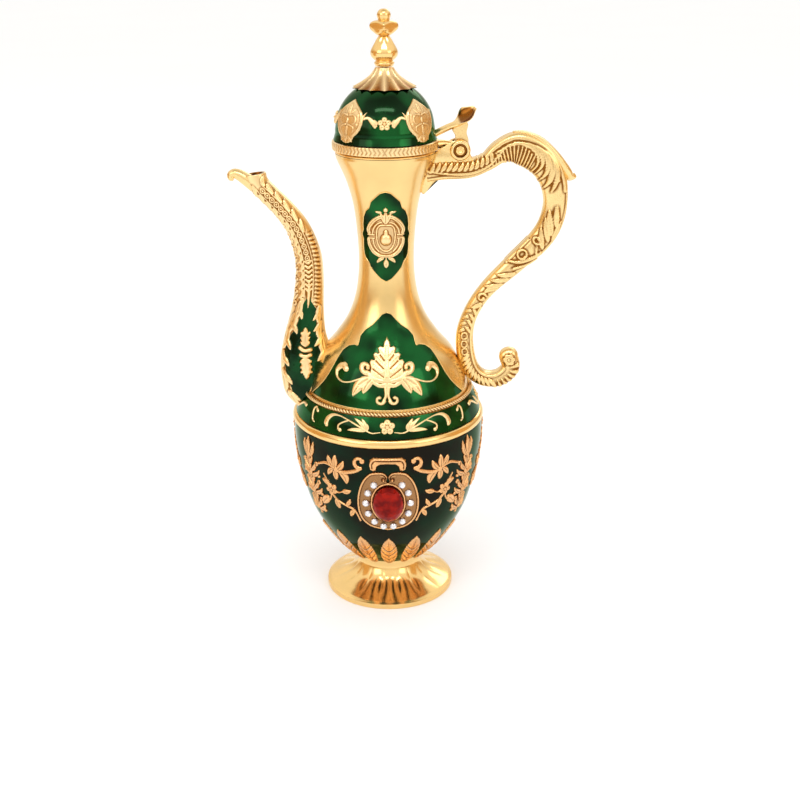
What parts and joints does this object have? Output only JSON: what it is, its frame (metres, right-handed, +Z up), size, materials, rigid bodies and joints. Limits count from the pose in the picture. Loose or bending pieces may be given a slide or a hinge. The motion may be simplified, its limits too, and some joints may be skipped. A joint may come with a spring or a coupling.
{
  "type": "dallah coffee pot",
  "caption": "Footed metal coffee pot with a tall neck, curved spout, S-scroll handle, hinged domed lid with finial, enamel panels and jewelled bowl.",
  "frame": {"origin": "centre of the foot's underside, on the surface that the pot stands on", "axes": "+Z up, -Y the jewelled front, spout towards -X, handle and lid hinge towards +X"},
  "size_m": [0.1571, 0.0974, 0.283],
  "materials": {
    "gold": "polished gilt",
    "relief_gold": "satin gilt relief",
    "green_enamel": "glossy enamel",
    "dark_enamel": "glossy enamel",
    "ruby_glass": "faceted red glass",
    "crystal": "faceted clear glass",
    "steel": "plain zinc-plated steel"
  },
  "bodies": {
    "pot": {"foot": "gold", "base_plate": "gold", "foot_screw": "steel", "foot_washer": "steel", "lower_bowl": "dark_enamel", "girdle_band": "gold", "upper_body": "gold", "rope_ring": "relief_gold", "mouth_collar": "gold", "spout": "relief_gold", "handle": "relief_gold", "hinge_pin": "gold", "gem_setting_front": "relief_gold", "gem_front": "ruby_glass", "stone_front_01": "crystal", "stone_front_02": "crystal", "stone_front_03": "crystal", "stone_front_04": "crystal", "stone_front_05": "crystal", "stone_front_06": "crystal", "stone_front_07": "crystal", "stone_front_08": "crystal", "stone_front_09": "crystal", "stone_front_10": "crystal", "stone_front_11": "crystal", "stone_front_12": "crystal", "gem_setting_back": "relief_gold", "gem_back": "ruby_glass", "stone_back_01": "crystal", "stone_back_02": "crystal", "stone_back_03": "crystal", "stone_back_04": "crystal", "stone_back_05": "crystal", "stone_back_06": "crystal", "stone_back_07": "crystal", "stone_back_08": "crystal", "stone_back_09": "crystal", "stone_back_10": "crystal", "stone_back_11": "crystal", "stone_back_12": "crystal"},
    "lid": {"lid_rim": "relief_gold", "lid_flange": "gold", "lid_dome": "green_enamel", "lid_lever": "relief_gold", "finial_skirt": "relief_gold", "finial_bulb": "relief_gold", "finial_knob": "relief_gold", "finial_stud": "steel", "finial_nut": "steel"}
  },
  "joints": [
    {"name": "lid_hinge", "type": "hinge", "parent": "pot", "child": "lid", "pos_m": [0.034, 0, 0.2215], "axis": [0, 1, 0], "range_deg": [0, 52]}
  ]
}
